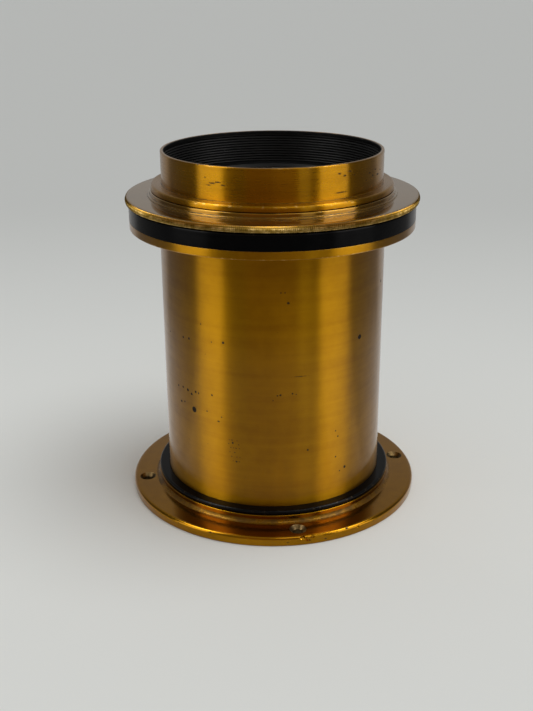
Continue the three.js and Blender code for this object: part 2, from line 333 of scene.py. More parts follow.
@dataclass(frozen=True)
class LacqueredBrass:
    """Turned brass under an amber lacquer that has aged and worn at its edges, with dirt and painted shade
    darkening its inside corners.
    """

    name: str
    gold: Colour = (0.40, 0.190, 0.004)
    umber: Colour = (0.30, 0.135, 0.003)
    bare: Colour = (0.80, 0.55, 0.20)
    tarnish_and_crease_shade: Colour = (0.020, 0.014, 0.008)
    roughness: float = 0.37
    anisotropy: float = 1.0
    coat: float = 1.0
    coat_roughness: float = 0.10
    coat_index: float = 1.17
    wear: float = 0.5
    pits: float = 0.5
    lines: float = 1.0
    marks: tuple[Mark, ...] = ()
    mark_radius: float = 0.0
    mark_growth: float = 1.2
    mark_edge: float = 0.12
    mark_rag: float = 0.45
    fine_rings: float = 4.0
    broad_rings: float = 0.45
    cloud_scale: float = 0.045
    mottle_scale: float = 0.35
    pit_scale: float = 0.42
    pit_chance: tuple[float, float] = (0.55, 0.9)
    pit_clusters: tuple[float, float] = (0.56, 0.66)
    pit_edge: tuple[float, float] = (0.17, 0.10)
    pit_depth: float = 6.0
    crease_grime_and_shade_edge: tuple[float, float] = (0.45, 1.1)
    crease_grime_and_shade: float = 0.75
    grain: float = 0.0035

    def _marks(self, graph: Graph, place: Value) -> Value:
        """How far the nearest mark reaches over a point, from 0 to 1."""
        ragged = graph.noise(place, 2.2, 3.0, 0.7).sway(2 * self.mark_rag)
        edge = self.mark_edge
        nearest: Value | None = None
        for mark in self.marks:
            away = graph.vector("SUBTRACT", place, mark.point(self.mark_radius))[0]
            if mark.stretch != 1.0:
                squeeze = (1 / mark.stretch, 1 / mark.stretch, 1.0)
                away = graph.vector("MULTIPLY", away, squeeze)[0]
            gap = graph.vector("LENGTH", away)["Value"] - mark.size * self.mark_growth
            nearest = gap if nearest is None else nearest.at_most(gap)
        return (nearest + ragged * 0.5).rise(edge, -edge)

    def material(self) -> Material:
        """The finish as a material."""
        graph = Graph.named(self.name)
        place = graph.place()
        fine = graph.lathe_lines(place, self.fine_rings)
        broad = graph.lathe_lines(place, self.broad_rings, 0.02)
        cloud = graph.noise(place, self.cloud_scale, 4.0, 0.6)
        mottle = graph.noise(place, self.mottle_scale, 4.0, 0.65)

        edge = graph.attribute("edge")
        crease = graph.attribute("crease")
        patchy = edge * (0.35 + graph.noise(place, 0.5, 4.0, 0.7))
        worn = patchy.rise(0.98 - 0.3 * self.wear, 1.06) * self.wear

        cells = graph.cells(place, self.pit_scale)
        shade = graph.node("ShaderNodeSeparateColor", {}, {0: cells["Color"]})[0]
        chance = shade.rise(*self.pit_chance)
        cluster = graph.noise(place, 0.06, 2.0).rise(*self.pit_clusters)
        pits = (cells["Distance"] + graph.noise(place, 3.0) * 0.12).rise(*self.pit_edge)
        spots = pits * chance * cluster * self.pits
        if self.marks:
            spots = spots.at_least(self._marks(graph, place))
        # Inside corners darken towards the tarnish colour: partly dirt, partly painted shade where the
        # creases would lie in shadow.
        crease_grime_and_shade = (crease * (0.4 + mottle)).rise(*self.crease_grime_and_shade_edge) * self.crease_grime_and_shade

        rings = broad.sway(0.5) * self.lines
        tone = (cloud.sway(1.2) + rings + mottle.sway(0.5) + 0.45).rise(0.0, 1.0)
        colour = graph.blend(tone, self.gold, self.umber)
        colour = graph.blend((fine - 0.5).rise(0.0, 0.5) * 0.25 * self.lines, colour, self.umber)
        colour = graph.blend(worn, colour, self.bare)
        # Real tarnish spots and pits, together with the painted crease shade.
        dirt_and_crease_shade = spots.at_least(crease_grime_and_shade)
        colour = graph.blend(dirt_and_crease_shade, colour, self.tarnish_and_crease_shade)

        roughness = self.roughness + fine.sway(0.10) * self.lines + mottle.sway(0.10)
        roughness = roughness + dirt_and_crease_shade * 0.25 - worn * 0.05
        relief = (fine * 0.5 + broad * 0.35) * self.lines - spots * self.pit_depth
        return graph.finish({
            "Base Color": colour,
            "Metallic": 1 - dirt_and_crease_shade * 0.8,
            "Roughness": roughness,
            "Anisotropic": self.anisotropy,
            "Anisotropic Rotation": GRAIN_TURN,
            "Coat Weight": (1 - worn.at_least(dirt_and_crease_shade) * 0.85) * self.coat,
            "Coat Roughness": self.coat_roughness,
            "Coat IOR": self.coat_index,
            "Specular IOR Level": DULL,
            "Normal": graph.bump(relief, self.grain),
        })


@dataclass(frozen=True)
class BlackEnamel:
    """Glossy black on brass, with fine rings and chips along its edges."""

    name: str
    black: Colour = (0.0022, 0.0022, 0.0024)
    chip: Colour = (0.22, 0.15, 0.06)
    dust: Colour = (0.006, 0.0056, 0.0052)
    roughness: float = 0.16
    index: float = 1.2
    wear: float = 0.35
    rings: float = 2.5
    mottle_scale: float = 0.4
    grain: float = 0.003

    def material(self) -> Material:
        """The finish as a material."""
        graph = Graph.named(self.name)
        place = graph.place()
        fine = graph.lathe_lines(place, self.rings, 0.03)
        mottle = graph.noise(place, self.mottle_scale, 4.0, 0.6)
        edge = graph.attribute("edge")
        patchy = edge * (0.3 + graph.noise(place, 0.8, 4.0, 0.75))
        worn = patchy.rise(0.96 - 0.3 * self.wear, 1.05) * self.wear
        dusty = graph.blend((mottle - 0.45).rise(0.0, 0.6) * 0.5, self.black, self.dust)
        return graph.finish({
            "Base Color": graph.blend(worn, dusty, self.chip),
            "Metallic": worn,
            "Roughness": self.roughness + fine.sway(0.22) + mottle.sway(0.12),
            "IOR": self.index,
            "Normal": graph.bump(fine + mottle * 0.3, self.grain, 0.8),
        })


@dataclass(frozen=True)
class MattBlack:
    """The dull black of the inside of an optical tube."""

    name: str
    black: Colour = (0.0035, 0.0035, 0.0035)
    rubbed: Colour = (0.035, 0.032, 0.028)
    roughness: float = 0.45
    mottle_scale: float = 0.25
    fine_scale: float = 4.0
    grain: float = 0.01

    def material(self) -> Material:
        """The finish as a material."""
        graph = Graph.named(self.name)
        place = graph.place()
        mottle = graph.noise(place, self.mottle_scale, 4.0, 0.65)
        fine = graph.noise(place, self.fine_scale)
        edge = graph.attribute("edge")
        rubbed = (edge * (0.35 + mottle)).rise(0.6, 1.2) * 0.5 + (mottle - 0.5).rise(0.0, 0.4) * 0.15
        return graph.finish({
            "Base Color": graph.blend(rubbed, self.black, self.rubbed),
            "Roughness": self.roughness + fine.sway(0.2),
            "Specular IOR Level": DULL,
            "Normal": graph.bump(fine, self.grain, 0.5),
        })


@dataclass(frozen=True)
class ToneBrass:
    """Plain turned brass that has toned dark inside the barrel, with painted shade darkening its inside
    corners.
    """

    name: str
    light: Colour = (0.42, 0.26, 0.07)
    dark: Colour = (0.16, 0.10, 0.035)
    roughness: float = 0.38
    anisotropy: float = 0.6
    rings: float = 3.0
    mottle_scale: float = 0.3
    grain: float = 0.004

    def material(self) -> Material:
        """The finish as a material."""
        graph = Graph.named(self.name)
        place = graph.place()
        fine = graph.lathe_lines(place, self.rings)
        mottle = graph.noise(place, self.mottle_scale, 4.0, 0.65)
        crease = graph.attribute("crease")
        # The crease term is painted shade: inside corners are drawn darker.
        tone = (mottle.sway(1.6) + fine.sway(0.4) + crease * 0.35 + 0.45).rise(0.0, 1.0)
        return graph.finish({
            "Base Color": graph.blend(tone, self.light, self.dark),
            "Metallic": 1.0,
            "Roughness": self.roughness + mottle.sway(0.2) + fine.sway(0.1),
            "Anisotropic": self.anisotropy,
            "Anisotropic Rotation": GRAIN_TURN,
            "Normal": graph.bump(fine, self.grain),
        })


@dataclass(frozen=True)
class BluedSteel:
    """Thin spring steel, blued, with rub marks where the blades slide and a painted highlight along the
    blades' edges.
    """

    name: str
    blue: Colour = (0.030, 0.034, 0.044)
    rubbed: Colour = (0.14, 0.14, 0.15)
    painted_edge_highlight: Colour = (0.42, 0.42, 0.44)
    roughness: float = 0.36
    metal: float = 0.85
    rings: float = 2.0
    cloud_scale: float = 0.12
    grain: float = 0.004

    def material(self) -> Material:
        """The finish as a material."""
        graph = Graph.named(self.name)
        place = graph.place()
        sweep = graph.lathe_lines(place, self.rings, 0.03)
        cloud = graph.noise(place, self.cloud_scale, 4.0, 0.6)
        rub = (cloud.sway(1.2) + sweep.sway(0.8)).rise(0.05, 0.5) * 0.6
        # Painted highlight: the blades' edges are lightened so that they stand out from one another.
        rim = graph.attribute("edge").rise(0.35, 1.0) * 0.85
        return graph.finish({
            "Base Color": graph.blend(rim, graph.blend(rub, self.blue, self.rubbed), self.painted_edge_highlight),
            "Metallic": self.metal,
            "Roughness": self.roughness + sweep.sway(0.2),
            "Normal": graph.bump(sweep, self.grain),
        })


@dataclass(frozen=True)
class OpticalGlass:
    """Polished uncoated glass, with a trace of dust."""

    name: str
    tint: Colour = (0.93, 0.96, 0.94)
    dust: Colour = (0.80, 0.82, 0.80)
    polish: float = 0.004
    index: float = 1.52
    haze_scale: float = 0.09
    speck_scale: float = 0.3

    def material(self) -> Material:
        """The finish as a material."""
        graph = Graph.named(self.name)
        place = graph.place()
        haze = graph.noise(place, self.haze_scale, 4.0, 0.65).rise(0.45, 0.85)
        speck = graph.cells(place, self.speck_scale)["Distance"].rise(0.08, 0.04)
        return graph.finish({
            "Base Color": graph.blend(haze * 0.15, self.tint, self.dust),
            "Roughness": self.polish + haze * 0.010 + speck * 0.15,
            "IOR": self.index,
            "Transmission Weight": 1.0,
        })


Coating = LacqueredBrass | BlackEnamel | MattBlack | ToneBrass | BluedSteel | OpticalGlass


class Finish(Enum):
    """The record's material slots, which the finishes answer to."""

    LACQUER = "lacquered_brass"
    INNER = "inner_brass"
    ENAMEL = "black_enamel"
    MATT = "matt_black"
    STEEL = "blade_steel"
    GLASS = "optical_glass"


# ------------------------------------------------------------------ turned sections


class Cut(Enum):
    """How a stretch of a section is cut."""

    PLAIN = 0
    THREAD = 1
    KNURL = 2


@dataclass(frozen=True)
class Relief:
    """Ribs along a stretch of a section.

    Args:
        cut: A screw thread round the axis, or straight knurling along it.
        pitch: Distance from rib to rib, in mm.
        depth: Depth of the groove, in mm.
    """

    cut: Cut = Cut.PLAIN
    pitch: float = 1.0
    depth: float = 0.0


PLAIN = Relief()


@dataclass(frozen=True)
class Corner:
    """A corner of a turned section.

    Args:
        r: Radius, in mm.
        z: Height, in mm.
        round: Radius of the rounding, in mm.
        skin: Number of the material on the stretch from here to the next corner.
        relief: Ribs on that stretch.
    """

    r: float
    z: float
    round: float = 0.0
    skin: int = 0
    relief: Relief = PLAIN


@dataclass(frozen=True)
class Stop:
    """A traced point of a section.

    Args:
        r: Radius, in mm.
        z: Height, in mm.
        skin: Number of the material on the stretch from here on.
        edge: 1 on an outside corner, which wears.
        crease: 1 on an inside corner, which holds dirt and painted shade.
        ribs: The ribs here.
        depth: The signed share of their depth.
    """

    r: float
    z: float
    skin: int = 0
    edge: float = 0.0
    crease: float = 0.0
    ribs: Relief = PLAIN
    depth: float = 0.0

    def shift(self, angles: np.ndarray) -> np.ndarray:
        """How far the ribs move the point out from the axis at each angle, in mm."""
        if self.ribs.cut is Cut.THREAD:
            phase = 2 * math.pi * self.z / self.ribs.pitch - angles
        elif self.ribs.cut is Cut.KNURL:
            phase = knurl_teeth(self.ribs) * angles
        else:
            return np.zeros(len(angles))
        return self.depth * self.ribs.depth * (0.5 - 0.5 * np.cos(phase))


ARC_STEPS = 5
SUPPORT = 0.35  # mm from a corner to the loop that holds the flat beside it
RIBS_PER_PITCH = 6
KNURL_SAMPLES = 4  # steps round the axis for each tooth
HOLE_SIDES = 40
RING_SIDES = 96
CLEAR = 1.0  # mm that a cutter reaches past the face it cuts
FINE = 320  # steps round the axis of the widest plain pieces
MAX_SETBACK = 0.45  # most of a side that one rounding may take up
STRAIGHT = 1e-3  # a turn, in radians, that needs no rounding
TINY = 1e-6  # a length, in mm, that counts as nothing
SHARP = math.radians(34)
WELD = 1e-7


def _rounding(
    before: np.ndarray, at: np.ndarray, after: np.ndarray, radius: float
) -> tuple[np.ndarray, bool]:
    """Rounds one corner.

    Args:
        before: The corner before it.
        at: The corner itself.
        after: The corner after it.
        radius: Radius of the rounding, in mm.

    Returns:
        The points round the corner, and whether it is an outside corner.
    """
    way_in, way_out = at - before, after - at
    length_in, length_out = np.linalg.norm(way_in), np.linalg.norm(way_out)
    way_in, way_out = way_in / length_in, way_out / length_out
    turn = way_in[0] * way_out[1] - way_in[1] * way_out[0]
    angle = math.acos(max(-1.0, min(1.0, float(way_in @ way_out))))
    if radius <= 0 or angle < STRAIGHT:
        return np.array([at]), bool(turn > 0)
    setback = min(radius * math.tan(angle / 2), MAX_SETBACK * length_in, MAX_SETBACK * length_out)
    radius = setback / math.tan(angle / 2)
    side = math.copysign(1.0, turn) * np.array([-way_in[1], way_in[0]])
    steps = np.linspace(0, angle, ARC_STEPS + 1)[:, None]
    start = at - way_in * setback
    return start + radius * (np.sin(steps) * way_in + (1 - np.cos(steps)) * side), bool(turn > 0)


def trace(corners: Sequence[Corner], closed: bool = True) -> list[Stop]:
    """Follows a section round its corners.

    Args:
        corners: The corners, outer wall upwards and then inwards over the top.
        closed: Whether the last corner joins the first. An open section ends on the axis.

    Returns:
        The traced points.
    """
    count = len(corners)
    ends = () if closed else (0, count - 1)
    spots = [np.array([c.r, c.z], float) for c in corners]
    arcs = [
        (spots[i][None], None) if i in ends
        else _rounding(spots[i - 1], spots[i], spots[(i + 1) % count], corner.round)
        for i, corner in enumerate(corners)
    ]
    path: list[Stop] = []
    for i, corner in enumerate(corners):
        arc, outside = arcs[i]
        reliefs = (corner.relief, corners[i - 1].relief)
        ribs = next((relief for relief in reliefs if relief.cut is Cut.KNURL), PLAIN)
        depth = 0.0 if ribs is PLAIN else -1.0
        edge, crease = float(outside is True), float(outside is False)
        for r, z in arc.tolist():
            path.append(Stop(r, z, corner.skin, edge, crease, ribs, depth))
        start, end = arc[-1], arcs[(i + 1) % count][0][0]
        length = float(np.linalg.norm(end - start))
        if length < TINY or (not closed and i == count - 1):
            continue
        ribs = corner.relief
        if ribs.cut is Cut.THREAD:
            steps = max(2, round(length / ribs.pitch * RIBS_PER_PITCH))
            shares = np.arange(1, steps) / steps
            fades = np.minimum(1.0, np.minimum(shares, 1 - shares) * length / ribs.pitch)
            depths = fades if end[1] < start[1] else -fades
        else:
            hold = min(SUPPORT, length / 3) / length
            shares = np.array([hold, 1 - hold])
            depths = np.full(2, -1.0 if ribs.cut is Cut.KNURL else 0.0)
        for share, depth in zip(shares, depths):
            r, z = (start + (end - start) * share).tolist()
            path.append(Stop(r, z, corner.skin, ribs=ribs, depth=float(depth)))
    return path


def knurl_teeth(relief: Relief) -> int:
    """The number of teeth round the control ring's rim."""
    return round(2 * math.pi * Span.of("aperture_control_ring").radius / relief.pitch)


def revolve(name: str, path: Sequence[Stop], sides: int, closed: bool = True) -> Object:
    """Makes a solid of revolution.

    Args:
        name: The new object's name.
        path: The traced section.
        sides: Steps round the axis.
        closed: Whether the section closes on itself.

    Returns:
        The new object, with its run, edge and crease stored on its points.
    """
    angles = np.arange(sides) * 2 * math.pi / sides
    section = np.array([(stop.r, stop.z) for stop in path])
    count = len(section)
    radius = section[:, :1] + np.array([stop.shift(angles) for stop in path])
    verts = np.empty((count, sides, 3))
    verts[..., 0] = radius * np.sin(angles)
    verts[..., 1] = -radius * np.cos(angles)
    verts[..., 2] = section[:, 1:]
    rows = np.arange(count if closed else count - 1)
    i, j = np.meshgrid(rows, np.arange(sides), indexing="ij")
    up, on = (i + 1) % count, (j + 1) % sides
    quads = np.stack([i * sides + j, i * sides + on, up * sides + on, up * sides + j], axis=-1)
    skins = np.repeat([path[row].skin for row in rows], sides)
    steps = np.linalg.norm(np.diff(section, axis=0), axis=1)
    marks = {
        "run": np.concatenate([[0.0], np.cumsum(steps)]),
        "edge": [stop.edge for stop in path],
        "crease": [stop.crease for stop in path],
    }
    stored = {key: np.repeat(values, sides) for key, values in marks.items()}
    return mesh_object(name, verts.reshape(-1, 3), quads.reshape(-1, 4), skins, stored)


def mesh_object(
    name: str,
    verts: np.ndarray,
    faces: np.ndarray,
    skins: np.ndarray | None = None,
    stored: dict[str, np.ndarray] | None = None,
) -> Object:
    """Makes a smooth-shaded object.

    Args:
        name: The new object's name.
        verts: Points, in mm.
        faces: Quads, as numbers of points.
        skins: Material number of each face.
        stored: Values to keep on the points, by name.

    Returns:
        The new object.
    """
    mesh = bpy.data.meshes.new(name)
    mesh.from_pydata((verts * MM).tolist(), [], faces.tolist())
    if skins is not None:
        mesh.polygons.foreach_set("material_index", skins.astype(np.int32))
    for key, values in (stored or {}).items():
        layer = mesh.attributes.new(key, "FLOAT", "POINT")
        layer.data.foreach_set("value", values.astype(np.float32))
    work = bmesh.new()
    work.from_mesh(mesh)
    bmesh.ops.remove_doubles(work, verts=work.verts, dist=WELD)
    bmesh.ops.dissolve_degenerate(work, edges=work.edges, dist=WELD)
    work.to_mesh(mesh)
    work.free()
    shade(mesh)
    return placed(name, mesh)


def placed(name: str, data: ID) -> Object:
    """A new object in the scene, with the given mesh, lamp or camera."""
    item = bpy.data.objects.new(name, data)
    bpy.context.scene.collection.objects.link(item)
    return item


def shade(mesh: Mesh) -> None:
    """Shades a mesh smooth, except across its sharp corners."""
    mesh.shade_smooth()
    mesh.set_sharp_from_angle(angle=SHARP)


def pierced(piece: Object, tools: Iterable[Object]) -> Object:
    """Cuts holes in a piece.

    Args:
        piece: The piece.
        tools: Solids of the holes, which are used up.

    Returns:
        The piece, with its holes.
    """
    while len(piece.data.materials) < 2:
        piece.data.materials.append(None)
    for tool in tools:
        holes = piece.modifiers.new("holes", "BOOLEAN")
        holes.operation = "DIFFERENCE"
        holes.solver = "EXACT"
        holes.object = tool
        bpy.context.view_layer.update()
        graph = bpy.context.evaluated_depsgraph_get()
        cut = bpy.data.meshes.new_from_object(piece.evaluated_get(graph))
        piece.modifiers.clear()
        old = piece.data
        piece.data = cut
        bpy.data.meshes.remove(old)
        bpy.data.objects.remove(tool)
    shade(piece.data)
    return piece


def turned(name: str, corners: Sequence[Corner], sides: int = 256) -> Object:
    """A ring turned from a closed section."""
    return revolve(name, trace(corners), sides)


def stud(corners: Sequence[Corner], sides: int, r: float, way: float) -> Object:
    """A small turned solid, stood at a place on a ring.

    Args:
        corners: Its section, from the axis below to the axis above.
        sides: Steps round its own axis.
        r: Distance of its own axis from the optical axis, in mm.
        way: Its place round from +X, in radians.

    Returns:
        The solid.
    """
    solid = revolve("stud", trace(corners, closed=False), sides, closed=False)
    solid.data.transform(Matrix.Translation((r * MM * math.cos(way), r * MM * math.sin(way), 0)))
    return solid


def hole_tools(section: Sequence[tuple[float, float]], r: float, turns: Iterable[float]) -> list[Object]:
    """Cutters for a circle of round holes.

    Args:
        section: Radius and height of each corner of a hole, from below.
        r: Radius of the circle, in mm.
        turns: Degrees round from +X of each hole.

    Returns:
        The cutters.
    """
    corners = [Corner(radius, height, skin=1) for radius, height in section]
    return [stud(corners, HOLE_SIDES, r, math.radians(turn)) for turn in turns]


@dataclass(frozen=True)
class Span:
    """Where a CAD node lies.

    Args:
        bottom: Its lowest height, in mm.
        top: Its greatest height, in mm.
        radius: Its outer radius, in mm.
    """

    bottom: float
    top: float
    radius: float

    @classmethod
    def of(cls, node: str) -> Span:
        """The span of a node of the frame."""
        low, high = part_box(node)
        return cls(low.z / MM, high.z / MM, high.x / MM)


def hoop(
    name: str,
    node: str,
    bore: float,
    rounds: Sequence[float],
    under: float = 0.0,
    slope: float = 0.0,
    sides: int = 256,
) -> Object:
    """A ring with a section of four corners, as high and as wide as a CAD node.

    Args:
        name: The new object's name.
        node: The CAD node.
        bore: Radius of the bore, in mm.
        rounds: Rounding of each corner, from the bore below to the bore above, in mm.
        under: How far it reaches under the node, in mm.
        slope: How far its top falls towards the bore, in mm.
        sides: Steps round the axis.

    Returns:
        The ring.
    """
    span = Span.of(node)
    radii = (bore, span.radius, span.radius, bore)
    heights = (span.bottom - under, span.bottom - under, span.top, span.top - slope)
    return turned(name, [Corner(*row) for row in zip(radii, heights, rounds)], sides)


class Dresser:
    """Keeps the materials, and gives each piece its body, node and finish."""

    def __init__(self) -> None:
        """Starts with no materials."""
        self.made: dict[str, Material] = {}

    def material(self, finish: Coating) -> Material:
        """The material of a finish, made once."""
        if finish.name not in self.made:
            self.made[finish.name] = finish.material()
        return self.made[finish.name]

    def settle(
        self,
        piece: Object,
        body: str,
        node: str,
        slot: Finish,
        finishes: Sequence[Coating],
    ) -> None:
        """Puts a finished piece in place of a CAD node.

        Args:
            piece: The piece.
            body: The body that it rides on.
            node: The CAD node that it stands for.
            slot: The record's material slot; not used.
            finishes: A finish for each material number of the piece.
        """
        slots = piece.data.materials
        while len(slots) < len(finishes):
            slots.append(None)
        for place, finish in enumerate(finishes):
            slots[place] = self.material(finish)
        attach(piece, body)
        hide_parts(node)
        log.info("%-24s rides on %-14s %6d faces", piece.name, body, len(piece.data.polygons))


# ------------------------------------------------------------------ sub-assemblies


BARREL_MARKS = Mark.several(
    (-43.8, 38.5, 0.85), (48.2, 63.4, 0.70), (-50.6, 63.1, 0.30), (-46.0, 63.4, 0.36),
    (-24.6, 64.9, 0.34), (-31.2, 64.4, 0.20), (-65.0, 62.2, 0.25), (-57.0, 44.5, 0.30),
    (-52.4, 44.9, 0.34), (-48.4, 44.7, 0.42), (-45.4, 43.8, 0.40), (-42.4, 45.2, 0.36),
    (-40.3, 45.0, 0.26), (-31.7, 45.8, 0.30), (-54.4, 39.3, 0.34), (-51.4, 39.8, 0.26),
    (-35.0, 39.5, 0.24), (-26.4, 38.6, 0.20), (-28.5, 36.9, 0.20), (2.1, 47.9, 0.22),
    (3.6, 48.1, 0.30), (9.4, 48.4, 0.26), (11.3, 48.1, 0.16), (0.0, 46.2, 0.16),
    (7.3, 79.1, 0.34), (5.8, 82.5, 0.18), (3.8, 82.5, 0.18), (13.3, 54.2, 0.10, 14.0),
    (71.7, 78.4, 0.45), (33.0, 32.5, 0.24), (34.5, 30.3, 0.26), (-37.5, 69.7, 0.20),
    (-20.6, 30.0, 0.28), (-18.6, 23.3, 0.26), (17.4, 27.7, 0.28), (33.3, 22.9, 0.26),
    (39.4, 17.9, 0.42), (36.0, 17.1, 0.22), (-28.0, 36.8, 0.24),
)

PIT_ROWS = (
    (31.0, (-22.4, -20.9, -18.2)),
    (29.6, (-22.8, -17.4)),
    (28.2, (-21.6, -20.2, -18.8, -17.0)),
    (26.6, (-22.2, -19.6)),
    (25.0, (-21.2, -18.4, -16.8)),
    (23.4, (-20.4, -19.0, -17.2)),
)
PIT_SIZE, PIT_STRETCH = 0.12, 1.4
BARREL_PITS = Mark.several(
    *((way, height, PIT_SIZE, PIT_STRETCH) for height, ways in PIT_ROWS for way in ways)
)

FLANGE_MARKS = Mark.several(
    (-24.0, 2.6, 0.16, 3.0), (28.5, 2.9, 0.18, 2.0), (41.0, 2.2, 0.20, 1.5),
    (-38.5, 2.4, 0.15, 2.5), (5.2, 1.4, 0.16, 2.0), (19.5, 1.2, 0.22, 2.0),
)

HOOD_MARKS = Mark.several(
    (-29.5, 115.6, 0.16, 5.0), (-26.5, 116.0, 0.16, 5.0), (-23.5, 115.2, 0.14, 4.0),
    (-31.5, 114.9, 0.13, 4.0), (-33.5, 117.1, 0.16, 1.5), (33.5, 118.0, 0.18, 2.5),
    (36.8, 117.2, 0.20, 2.0), (40.2, 118.3, 0.16, 3.0), (43.0, 116.9, 0.14, 2.0),
    (34.8, 112.2, 0.12, 12.0), (55.5, 116.3, 0.20, 3.0), (58.8, 115.2, 0.24, 2.0),
    (61.5, 116.8, 0.18, 4.0), (64.8, 114.9, 0.22, 3.0), (68.5, 116.0, 0.18, 2.0),
    (52.4, 114.3, 0.14, 3.0),
)

BRASS = LacqueredBrass("lacquered_brass")
MATT = MattBlack("matt_black")
ENAMEL = BlackEnamel("black_enamel")
INNER = ToneBrass("toned_brass")
STEEL = BluedSteel("blued_steel")
FLANGE_THREAD = Relief(Cut.THREAD, INCH / 24, 0.45)
CELL_THREAD = Relief(Cut.THREAD, INCH / 28, 0.32)
HOOD_THREAD = Relief(Cut.THREAD, INCH / 28, 0.30)
RIM_KNURL = Relief(Cut.KNURL, INCH / 40, 0.20)


CHIP_RAGGED = (0.72, 1.18)  # shares of its size that a chip's surface wanders between
CHIP_SHAPE = (1.0, 0.6, 0.8)  # along the edge, outwards and up
CHIP_SEED = 7


def chip_tool(r: float, z: float, azimuth: float, size: float, seed: int) -> Object:
    """A ragged lump, which leaves a chip where it is cut out of an edge.

    Args:
        r: Distance from the axis, in mm.
        z: Height, in mm.
        azimuth: Degrees round from the front, to the right.
        size: Its radius, in mm.
        seed: Seed for its raggedness.

    Returns:
        The tool.
    """
    shape = bmesh.new()
    bmesh.ops.create_icosphere(shape, subdivisions=2, radius=size)
    ragged = np.random.default_rng(seed + CHIP_SEED)
    for vert in shape.verts:
        vert.co *= float(ragged.uniform(*CHIP_RAGGED))
    verts = np.array([vert.co for vert in shape.verts]) * CHIP_SHAPE
    faces = np.array([[vert.index for vert in face.verts] for face in shape.faces])
    shape.free()
    way = math.radians(azimuth)
    across = np.array([-math.cos(way), -math.sin(way), 0.0])
    out = np.array([math.sin(way), -math.cos(way), 0.0])
    up = np.array([0.0, 0.0, 1.0])
    verts = verts[:, :1] * across + verts[:, 1:2] * out + verts[:, 2:] * up
    return mesh_object("chip_tool", verts + r * out + z * up, faces)


@dataclass
class Mount:
    """The screw flange and the black shoulder ring."""

    dresser: Dresser
    bore: float = 40.3
    hub: float = 41.8
    edge: float = 3.2
    dish: float = 0.25
    cove: float = 2.4
    hole_circle: float = 46.5
    holes: int = 4
    first_hole: float = 10.0
    hole: float = 1.75
    sink: float = 2.75
    sink_lip: float = 0.02
    sink_mouth: float = 0.5
    thread_gap: float = 0.4
    slip: float = 0.06
    seat_gap: float = 0.2
    marked: float = 50.9
    bite: float = 0.1
    chips: tuple[tuple[float, float, float], ...] = (
        (10.6, 0.5, 1.05),
        (12.8, 1.2, 1.15),
        (14.6, 0.5, 0.75),
        (33.5, 0.9, 0.60),
        (-9.5, 0.2, 0.50),
    )

    def flange(self) -> Object:
        """The flange, with four countersunk holes."""
        span = Span.of("mounting_flange")
        plate = turned("screw_flange", [
            Corner(self.bore, span.bottom, 0.2),
            Corner(span.radius, span.bottom, 0.35),
            Corner(span.radius, self.edge, 1.1),
            Corner(self.hub, self.edge + self.dish, self.cove),
            Corner(self.hub, span.top, 0.2),
            Corner(self.bore, span.top, 0.2, relief=replace(FLANGE_THREAD, depth=0.2)),
        ])
        mouth = self.edge + self.sink_mouth
        shape = [
            (0.0, -CLEAR),
            (self.hole, -CLEAR),
            (self.hole, self.edge - (self.sink - self.hole)),
            (self.sink, self.edge + self.sink_lip),
            (self.sink + self.sink_mouth, mouth),
            (0.0, mouth),
        ]
        turns = [self.first_hole + 360 / self.holes * i for i in range(self.holes)]
        tools = hole_tools(shape, self.hole_circle, turns)
        for seed, (way, drop, size) in enumerate(self.chips):
            tools.append(chip_tool(span.radius - self.bite, self.edge - drop, way, size, seed))
        return pierced(plate, tools)

    def shoulder(self) -> Object:
        """The shoulder ring, threaded below."""
        span = Span.of("mounting_ring")
        thread = self.bore - self.thread_gap
        bore = Span.of("barrel_tube").radius + self.slip
        ledge = Span.of("mounting_flange").top + self.seat_gap
        return turned("shoulder_ring", [
            Corner(bore, span.bottom, 0.2),
            Corner(thread, span.bottom, 0.3, relief=FLANGE_THREAD),
            Corner(thread, ledge, 0.0),
            Corner(span.radius, ledge, 0.2),
            Corner(span.radius, span.top, 0.9),
            Corner(bore, span.top, 0.1),
        ])

    def build(self) -> None:
        """Makes and dresses both pieces."""
        brass = replace(
            BRASS, name="flange_brass", gold=(0.36, 0.165, 0.003), umber=(0.25, 0.108, 0.002),
            roughness=0.17, anisotropy=0.6, coat=0.5, coat_roughness=0.03, coat_index=1.2,
            wear=0.0, pits=0.8, lines=0.6, marks=FLANGE_MARKS, mark_radius=self.marked)
        hole = replace(INNER, name="hole_brass", light=(0.20, 0.13, 0.05), dark=(0.03, 0.022, 0.015))
        settle = self.dresser.settle
        settle(self.flange(), "flange", "mounting_flange", Finish.LACQUER, [brass, hole])
        settle(self.shoulder(), "mounting_ring", "mounting_ring", Finish.ENAMEL, [ENAMEL])


